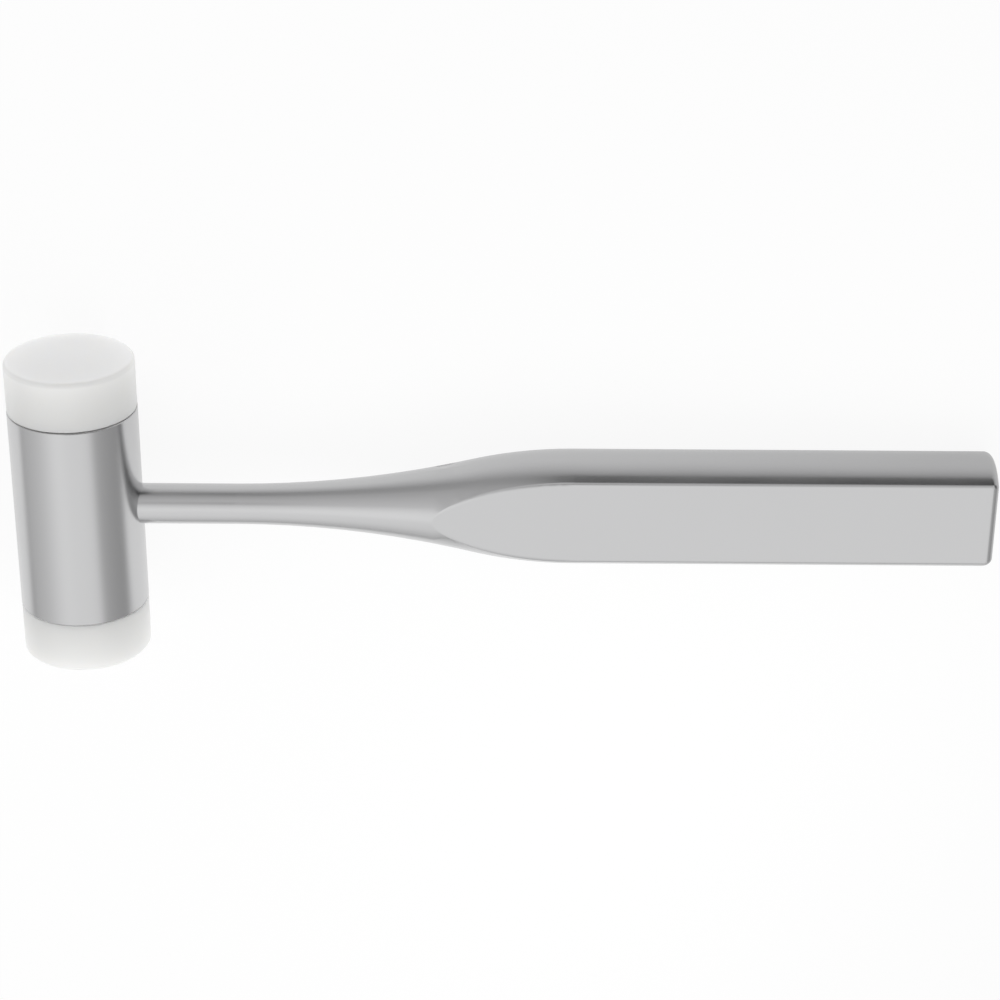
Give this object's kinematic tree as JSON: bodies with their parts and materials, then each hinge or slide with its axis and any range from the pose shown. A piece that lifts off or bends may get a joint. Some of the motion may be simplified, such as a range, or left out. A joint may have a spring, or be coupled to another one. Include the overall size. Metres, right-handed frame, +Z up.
{
  "type": "surgical mallet",
  "caption": "Small steel bone mallet with a cylindrical head, screw-in nylon striking caps and a turned handle with a flat-sided grip.",
  "frame": {"origin": "on the floor, under the middle of the mallet's box as it lies", "axes": "+X from the head towards the end of the handle, +Y along the head's axis towards the upper cap, +Z up"},
  "size_m": [0.1906, 0.0618, 0.025],
  "materials": {
    "satin_steel": "satin",
    "white_nylon": "matte"
  },
  "bodies": {
    "mallet": {"head_barrel": "satin_steel", "handle": "satin_steel"},
    "upper_cap": {"upper_cap": "white_nylon"},
    "lower_cap": {"lower_cap": "white_nylon"}
  },
  "joints": [
    {"name": "upper_cap_unscrew", "type": "slide", "parent": "mallet", "child": "upper_cap", "axis": [0, 1, 0], "range_m": [0, 0.014]},
    {"name": "lower_cap_unscrew", "type": "slide", "parent": "mallet", "child": "lower_cap", "axis": [0, -1, 0], "range_m": [0, 0.014]}
  ]
}
